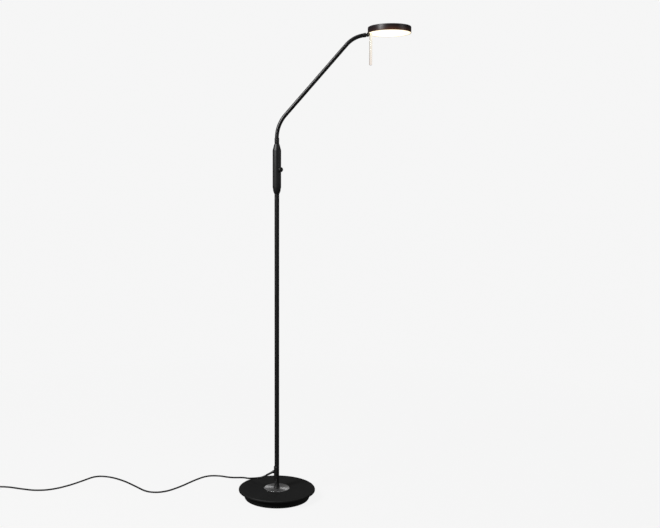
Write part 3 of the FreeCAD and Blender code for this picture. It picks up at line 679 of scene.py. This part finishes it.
def make_base():
    """Foam pad, tub, cover with its rounded rim, and the brushed disc."""
    tub_hole = 0.020
    tub_round = 0.0012
    bore = 0.0053
    rim_round = 0.003
    lip_round = 0.0006
    radius, low, high = heights("base_pad")
    pad = lathe("pad", [(0, low), (radius, low, EDGE), (radius, high, EDGE), (0, high)])
    add(pad, "stand", "black_foam", "base_pad")
    radius, low, high = heights("base_tub")
    inner = radius - SHEET
    tub = lathe("tub", [
        (tub_hole, low, EDGE), (radius, low, tub_round), (radius, high), (inner, high),
        (inner, low + SHEET, EDGE), (tub_hole, low + SHEET, EDGE)])
    paint = base_paint()
    add(tub, "stand", "black_paint", "base_tub", look=paint)
    radius, low, high = heights("base_cover")
    inner = radius - SHEET
    cover = lathe("cover", [
        (bore, high), (radius, high, rim_round), (radius, low, lip_round), (inner, low, lip_round),
        (inner, high - SHEET, rim_round - SHEET), (bore, high - SHEET)])
    add(cover, "stand", "black_paint", "base_cover", look=paint)
    radius, low, high = heights("trim_disc")
    disc = lathe("disc", [(bore, low), (radius, low), (radius, high, EDGE), (bore, high)])
    add(disc, "stand", "brushed_steel", "trim_disc")


def make_pole():
    """The pole and the flared collar at its foot."""
    wall = 0.001
    flange_high = 0.0012
    neck_start = 0.0036
    neck_in = 0.0011
    flange_round = 0.0005
    neck_round = 0.001
    radius, low, high = heights("pole_tube")
    inner = radius - wall
    pole = lathe("pole", [(inner, low), (radius, low), (radius, high), (inner, high)])
    add(pole, "stand", "black_paint", "pole_tube")
    wide, low, high = heights("foot_collar")
    neck = wide - neck_in
    collar = lathe("collar", [
        (radius, low), (wide, low, EDGE), (wide, low + flange_high, flange_round),
        (neck, low + neck_start, neck_round), (neck, high, flange_round), (radius, high)])
    add(collar, "stand", "black_paint", "foot_collar")


def make_relief():
    """The ribbed strain relief that the cord leaves through."""
    start, end = RELIEF_REACH
    wide, narrow = RELIEF_RADII
    bore = CORD_RADIUS + 0.0001
    ribs = 6
    depth = 0.00025
    mouth = 0.0007                                # half a groove's width at its top
    bed = 0.0003                                  # and at its bottom
    outline = [(bore, start), (wide, start, EDGE)]
    for rib in range(1, ribs):
        for nudge, sunk in ((-mouth, 0), (-bed, depth), (bed, depth), (mouth, 0)):
            along = start + (end - start) * rib / ribs + nudge
            share = (along - start) / (end - start)
            outline.append((wide + (narrow - wide) * share - sunk, along))
    outline += [(narrow, end, EDGE), (bore, end)]
    relief = lathe("relief", outline, origin=UP * EXIT_HEIGHT, axis=EXIT_WAY)
    add(relief, "stand", "black_rubber", "strain_relief")


def make_grip_tail():
    """The lower cone, which goes a little way into the sleeve."""
    pole = heights("pole_tube")[0]
    wide, low, high = heights("grip_tail")
    sleeve_low = heights("grip_sleeve")[1]
    lip = 0.0005
    knee_radius = 0.0106
    knee_high = 0.008
    knee_round = 0.002
    spigot = wide - 0.0008
    tail = lathe("grip_tail_cone", [
        (pole, low), (pole + lip, low, FINE_EDGE), (knee_radius, low + knee_high, knee_round),
        (wide, sleeve_low, FINE_EDGE), (spigot, sleeve_low), (spigot, high), (pole, high)])
    add(tail, "stand", "black_plastic", "grip_tail")


def make_grip_sleeve(paint):
    """The sleeve with its two holes, for the knob's shaft and the stop screw."""
    shaft_hole = 0.0036
    screw_hole = 0.0014
    radius, low, high = heights("grip_sleeve")
    inner = radius - GRIP_WALL
    sleeve = lathe("grip_tube", [
        (inner, low), (radius, low, EDGE), (radius, high, EDGE), (inner, high)])
    shaft_cut = drill("knob_hole", KNOB_HIGH, KNOB_AXIS, shaft_hole)
    screw_cut = drill("screw_hole", box_centre("stop_screw").z, NORTH, screw_hole)
    carve(sleeve, shaft_cut, screw_cut)
    add(sleeve, "stand", "black_paint", "grip_sleeve", look=paint)


def make_grip_nose(paint):
    """The upper cone, bored wide for the bush under a thin roof with a hole for the arm."""
    radius = heights("grip_sleeve")[0]
    sleeve_high = heights("grip_sleeve")[2]
    top = heights("grip_nose")[2]
    inner = radius - GRIP_WALL
    arm_hole = 0.0063
    bush_bore = 0.0073
    tip = 0.0077
    roof = top - 0.001
    foot = sleeve_high - 0.010
    land = 0.0002
    land_round = 0.0004
    nose = lathe("grip_nose_cone", [
        (arm_hole, roof), (arm_hole, top, FINE_EDGE), (tip, top, EDGE),
        (radius, sleeve_high + land, land_round), (radius, sleeve_high), (inner, sleeve_high),
        (inner, foot), (bush_bore, foot), (bush_bore, roof)])
    add(nose, "stand", "black_paint", "grip_nose", look=paint)


def make_knob():
    """The domed dimmer knob with shallow finger flutes."""
    start, end = KNOB_REACH
    wide = heights("dimmer_knob")[2] - KNOB_HIGH
    bore = 0.00201
    bore_end = start + 0.0048
    back_round = 0.0004
    dome_round = 0.0036
    knob = lathe("knob", [
        (bore, start), (wide, start, back_round), (wide, end, dome_round), (0, end),
        (0, bore_end), (bore, bore_end)],
        origin=UP * KNOB_HIGH, axis=KNOB_AXIS, flutes=32, flute_depth=0.00018)
    add(knob, "knob", "black_plastic", "dimmer_knob")


def arm_path():
    """The arm's centreline: straight runs joined by round bends."""
    pin = box_centre("tilt_pin")
    end = pin - END_WAY * ARM_END
    corner = pin - END_WAY * ((pin.x - ARM_CORNER_OUT) / END_WAY.x)
    outline = [(0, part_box("arm_tube")[0].z), (0, ARM_CORNER, ARM_BENDS[0]),
               (corner.x, corner.z, ARM_BENDS[1]), (end.x, end.z)]
    return [Vector((along, 0, height)) for along, height in arcs(outline, steps=24)]


def make_arm():
    """The bent arm, with the collar on its foot and the ferrule on its end."""
    arm = tube("arm", arm_path(), ARM_RADIUS, ARM_RADIUS - ARM_WALL)
    add(arm, "arm", "black_paint", "arm_tube", look=arm_paint())
    radius, low, high = heights("arm_collar")
    foot_round = 0.0005
    top_round = 0.0006
    collar = lathe("arm_foot", [
        (ARM_RADIUS, low), (radius, low, foot_round), (radius, high, top_round), (ARM_RADIUS, high)])
    add(collar, "arm", "black_satin", "arm_collar")
    radius = heights("arm_ferrule")[0]
    bore = 0.0036
    start, end = -FERRULE[0], -FERRULE[1]
    seat = end - 0.002
    ferrule = lathe("arm_tip", [
        (ARM_RADIUS, start), (radius, start, EDGE), (radius, end, EDGE), (bore, end), (bore, seat),
        (ARM_RADIUS, seat)], origin=box_centre("tilt_pin"), axis=END_WAY)
    add(ferrule, "arm", "black_satin", "arm_ferrule")


def make_head():
    """The round housing and the lit face, both notched for what holds the head."""
    centre = middle("head_housing")
    top_round = 0.002
    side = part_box("head_bracket")[1].y + 0.0004
    shell_notch_end = 0.2676
    shell_notch_high = 0.0022
    radius, low, high = heights("head_housing")
    inner = radius - HEAD_SHEET
    under = high - HEAD_SHEET
    shell = lathe("housing", [
        (0, high), (radius, high, top_round), (radius, low, EDGE), (inner, low, EDGE),
        (inner, under, top_round - HEAD_SHEET), (0, under)], origin=centre)
    start = centre.x - radius - PAST
    notch = block("notch", (start, -side, low - PAST), (shell_notch_end, side, low + shell_notch_high))
    carve(shell, notch)
    add(shell, "head", "black_paint", "head_housing", look=head_paint(centre, radius, low, high))
    face_round = 0.0006
    face_notch_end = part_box("handle_plate")[1].x + 0.0002
    radius, low, high = heights("opal_face")
    face = lathe("face", [(0, high), (radius, high, EDGE), (radius, low, face_round), (0, low)],
                 origin=centre)
    start = centre.x - radius - PAST
    notch = block("notch", (start, -side, low - PAST), (face_notch_end, side, high + PAST))
    carve(face, notch)
    add(face, "head", "opal", "opal_face")


def make_rod():
    """The clear rod below the head, with its rounded end."""
    radius, low, high = heights("handle_rod")
    end_round = 0.7 * radius
    rod = lathe("rod", [(0, low), (radius, low, end_round), (radius, high, EDGE), (0, high)],
                origin=middle("handle_rod"))
    add(rod, "head", "clear_acrylic", "handle_rod")


def coil_points():
    """The put-away turns: inwards along the floor, up inside, then outwards on top. They end on
    the coil's -Y side."""
    centre = box_centre("cord_coil")
    outer, inner = COIL_RADII
    floor, upper = COIL_LAYERS
    end_radius = outer - 0.0023
    inwards = 2
    rise = 1 / 3
    left_over = COIL_ENTRY - 2 * pi * (inwards + rise) + pi / 2
    outwards = (left_over / (2 * pi)) % 1 + 1
    stages = ((inwards, outer, inner, floor, floor), (rise, inner, inner, floor, upper),
              (outwards, inner, end_radius, upper, upper))
    points = []
    angle = COIL_ENTRY
    for turns, from_radius, to_radius, from_height, to_height in stages:
        count = round(turns * COIL_POINTS)
        for step in range(1, count + 1):
            share = step / count
            around = angle - 2 * pi * turns * share
            radius = from_radius + (to_radius - from_radius) * share
            height = from_height + (to_height - from_height) * share
            points.append((centre.x + radius * cos(around), centre.y + radius * sin(around), height))
        angle -= 2 * pi * turns
    return points


def make_cord():
    """The mains cord: out of the relief, loose over the floor, into its coil and to the plug."""
    in_relief = 0.008                             # how far it starts inside the relief
    before_plug = 0.012
    in_plug = 0.006
    plug_lift = 0.0003                            # the cord enters the plug a little from above
    tip = UP * EXIT_HEIGHT + EXIT_WAY * RELIEF_REACH[1]
    inside = UP * EXIT_HEIGHT + EXIT_WAY * (RELIEF_REACH[1] - in_relief)
    lying = [(along, across, CORD_RADIUS) for along, across in CORD_FLOOR]
    plug = box_centre("plug_body")
    plug_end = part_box("plug_body")[1].x
    lead_out = [(plug_end + before_plug, plug.y, COIL_LAYERS[1]),
                (plug_end, plug.y, plug.z + plug_lift), (plug_end - in_plug, plug.y, plug.z)]
    points = [inside, tip, *CORD_FALL, *lying, CORD_INTO_COIL, *coil_points(), *lead_out]
    curve = bpy.data.curves.new("cord", "CURVE")
    curve.dimensions = "3D"
    curve.bevel_depth = CORD_RADIUS
    curve.bevel_resolution = 6
    curve.resolution_u = 8
    curve.use_fill_caps = True
    spline = curve.splines.new("NURBS")
    spline.points.add(len(points) - 1)
    for control, point in zip(spline.points, points):
        control.co = (*point, 1)
    spline.order_u = 3
    spline.use_endpoint_u = True
    cord = bpy.data.objects.new("cord", curve)
    bpy.context.scene.collection.objects.link(cord)
    add(cord, "stand", "cord_sheath", "mains_cord", "cord_coil")
    return cord, tip


def make_tie():
    """A thin strap round the coil's turns, which keeps them together."""
    outer, inner = COIL_RADII
    floor, upper = COIL_LAYERS
    thick = 0.0004
    half_wide = 0.004
    square = 4
    sides = 48
    reach = (outer - inner) / 2 + CORD_RADIUS + thick
    rise = (upper - floor) / 2 + CORD_RADIUS + thick
    spot = box_centre("cord_coil") + Vector((0, (outer + inner) / 2, 0))
    spot.z = (floor + upper) / 2
    bm = bmesh.new()
    rings = []
    corners = ((-half_wide, 0), (half_wide, 0), (half_wide, thick), (-half_wide, thick))
    for along, inset in corners:
        ring = []
        for side in range(sides):
            across, upward = rounded_box(2 * pi * side / sides, square)
            ring.append(bm.verts.new(spot + Vector((
                along, (reach - inset) * across, (rise - inset) * upward))))
        rings.append(ring)
    bridge(bm, rings, closed=True)
    return add(finished("cord_tie", bm), "stand", "black_rubber")


def plug_neck(long):
    """The plug's neck: round sections that widen from its tip, with a groove at each rib."""
    tip_radius = 0.0031
    tip_round = 0.0003
    tip_long = 0.0004
    grow = 0.0012                                 # how much wider it would be at its far end
    ribs = 4
    depth = 0.0005
    mouth = 0.0008                                # half a groove's width at its top
    bed = 0.0004                                  # and at its bottom
    sections = [(0, tip_radius - tip_round), (tip_long, tip_radius)]
    for rib in range(1, ribs + 1):
        along = long * rib / (ribs + 1)
        radius = tip_radius + grow * rib / (ribs + 1)
        sections += [(along - mouth, radius), (along - bed, radius - depth),
                     (along + bed, radius - depth), (along + mouth, radius)]
    return [(along, radius, radius, 2) for along, radius in sections]


def make_plug_body():
    """The flat moulded plug: ribbed neck and a body that swells to a rounded box."""
    low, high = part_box("plug_body")
    centre = box_centre("plug_body")
    wide = (high.y - low.y) / 2
    thick = (high.z - low.z) / 2
    neck = 0.014
    body = high.x - low.x - neck
    square = 5.2
    near_end = 0.0006                             # how far in the section before the last is
    at_end = 0.0016                               # and the last one
    # Each section: share of the body's length, half width, half height, squareness.
    swell = ((0.0, 0.0046, 0.0046, 2), (0.04, 0.0075, 0.0058, 2.6), (0.14, 0.0108, 0.0066, 3.4),
             (0.35, 0.0117, 0.0069, 4.2), (0.6, 0.0120, 0.0069, 4.6), (0.78, wide, thick, square),
             (0.94, wide, thick, square), (0.985, wide - near_end, thick - near_end, square),
             (1.0, wide - at_end, thick - at_end, square))
    shape = plug_neck(neck) + [(neck + body * share, *rest) for share, *rest in swell]
    sections = [(Vector((high.x - along, centre.y, centre.z)), half_wide, half_high, squareness)
                for along, half_wide, half_high, squareness in shape]
    return add(loft("plug", sections), "stand", "cord_sheath", "plug_body")


def make_plug():
    """The plug with its two pins, each a sleeved half and a bare half."""
    pieces = [make_plug_body()]
    low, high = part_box("plug_pins")
    radius = (high.z - low.z) / 2
    length = high.x - low.x
    sleeve = length * 0.5
    sleeve_radius = radius - 0.0001
    rooted = -0.002                               # the sleeve starts inside the plug's body
    join_round = 0.0001
    tip_round = 0.0014
    for side, place in (("front", low.y + radius), ("back", high.y - radius)):
        foot = Vector((high.x, place, box_centre("plug_body").z))
        shank = lathe("pin_sleeve_" + side, [
            (0, rooted), (sleeve_radius, rooted), (sleeve_radius, sleeve, EDGE), (0, sleeve)],
            origin=foot, axis=WEST)
        tip = lathe("pin_tip_" + side, [
            (0, sleeve), (radius, sleeve, join_round), (radius, length, tip_round), (0, length)],
            origin=foot, axis=WEST)
        pieces.append(add(shank, "stand", "cord_sheath"))
        pieces.append(add(tip, "stand", "plug_metal"))
    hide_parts("plug_pins")
    return pieces


def dress_frame():
    """Every CAD node that is still shown gets its slot's material."""
    for part in frame["record"]["subparts"]:
        shown = frame["nodes"][part["node"]]
        if shown.hide_render:
            continue
        shown.data.materials.clear()
        shown.data.materials.append(slot_look[part["material_slot"]])


# ------------------------------------------------------- floor, lights, camera

def make_floor():
    """A pale floor that runs into the backdrop's tone away from the lamp."""
    reach = 30
    under = 0.0002                                # how far it lies below the lamp
    fade = (0.4, 2.2)                             # the radii between which its tone changes
    bm = bmesh.new()
    bmesh.ops.create_grid(bm, x_segments=1, y_segments=1, size=reach)
    floor = finished("floor", bm)
    floor.location.z = -under
    look = Look("floor", grey(0.9), 0.8, specular=0.0)
    away = look.ramp(look.radius(), *fade)
    clouds = look.noise(0.4)
    look.colour(away, grey(0.06), grey(0.0))
    look.set("Emission Color", look.mix(look.math("MULTIPLY", clouds, 0.02), grey(1), grey(0.9)))
    look.set("Emission Strength", look.ramp(away, 0, 1, FLOOR_TONE, BACKDROP))
    floor.data.materials.append(look.material)
    floor.visible_diffuse = False
    floor.visible_glossy = False


def softbox(name, place, target, wide, high, radiance):
    """A rectangular light of even brightness that faces the target."""
    light = bpy.data.lights.new(name, "AREA")
    light.shape = "RECTANGLE"
    light.size = wide
    light.size_y = high
    light.energy = radiance * pi * wide * high
    lamp = bpy.data.objects.new(name, light)
    bpy.context.scene.collection.objects.link(lamp)
    lamp.location = place
    lamp.rotation_euler = (Vector(target) - Vector(place)).to_track_quat("-Z", "Y").to_euler()


def make_lights():
    """A tall bright one from the left, a weak one from the right and a faint one from above."""
    softbox("key", (-2.2, -1.8, 2.8), target=(0.1, 0, 1.3), wide=0.9, high=2.2, radiance=18.0)
    softbox("fill", (2.7, -1.2, 1.8), target=(0, 0, 1.0), wide=0.7, high=1.6, radiance=2.2)
    softbox("top", (-0.3, 0.6, 3.2), target=(0, 0, 0), wide=1.6, high=1.6, radiance=1.0)


def make_world():
    """Plain surroundings: pale where the camera looks, dim where they light the lamp."""
    world = bpy.data.worlds.new("studio")
    bpy.context.scene.world = world
    world.use_nodes = True
    tree = world.node_tree
    tree.nodes.clear()
    seen = tree.nodes.new("ShaderNodeBackground")
    seen.inputs["Color"].default_value = (*grey(BACKDROP), 1)
    lit = tree.nodes.new("ShaderNodeBackground")
    lit.inputs["Color"].default_value = (*grey(SURROUND), 1)
    rays = tree.nodes.new("ShaderNodeLightPath")
    direct = tree.nodes.new("ShaderNodeMath")
    direct.operation = "MAXIMUM"
    either = tree.nodes.new("ShaderNodeMixShader")
    out = tree.nodes.new("ShaderNodeOutputWorld")
    links = ((rays.outputs["Is Camera Ray"], direct.inputs[0]),
             (rays.outputs["Is Transmission Ray"], direct.inputs[1]),
             (direct.outputs[0], either.inputs[0]), (lit.outputs[0], either.inputs[1]),
             (seen.outputs[0], either.inputs[2]), (either.outputs[0], out.inputs["Surface"]))
    for source, socket in links:
        tree.links.new(source, socket)


def make_camera():
    """At the height of the lamp's upper half, with the pole left of the middle."""
    looks_down = 5
    lens = bpy.data.cameras.new("camera")
    lens.sensor_width = 36
    lens.lens = 47.41
    lens.shift_x = 0.0805
    camera = bpy.data.objects.new("camera", lens)
    bpy.context.scene.collection.objects.link(camera)
    camera.location = (0, -2.5569, 0.9305)
    camera.rotation_euler = (radians(90 - looks_down), 0, 0)
    bpy.context.scene.camera = camera


def slot_looks():
    """One material for each slot of the CAD record."""
    face_radius = heights("opal_face")[0]
    return {
        "black_foam": black_foam(),
        "black_paint": black_paint(),
        "black_satin": black_satin(),
        "black_plastic": black_plastic(),
        "black_rubber": black_rubber(),
        "black_screw": black_screw(),
        "cast_iron": cast_iron(),
        "brushed_steel": brushed_steel(),
        "zinc_steel": zinc_steel(),
        "brass": brass(),
        "aluminium": aluminium(),
        "circuit_board": circuit_board(),
        "grey_parts": grey_parts(),
        "white_board": white_board(),
        "led": led(),
        "white_plastic": white_plastic(),
        "opal": opal(middle("opal_face"), face_radius),
        "clear_acrylic": clear_acrylic(middle("handle_rod"), *heights("handle_rod")),
        "cord_sheath": cord_sheath(),
        "plug_metal": plug_metal(),
    }


slot_look = slot_looks()
make_base()
make_pole()
make_relief()
make_grip_tail()
grip_look = grip_paint()
make_grip_sleeve(grip_look)
make_grip_nose(grip_look)
make_knob()
make_arm()
make_head()
make_rod()
cord, cord_exit = make_cord()
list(make_plug())
make_tie()
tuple(cord_exit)
dress_frame()
make_floor()
make_lights()
make_world()
make_camera()
bpy.context.scene.view_settings.view_transform = "Standard"
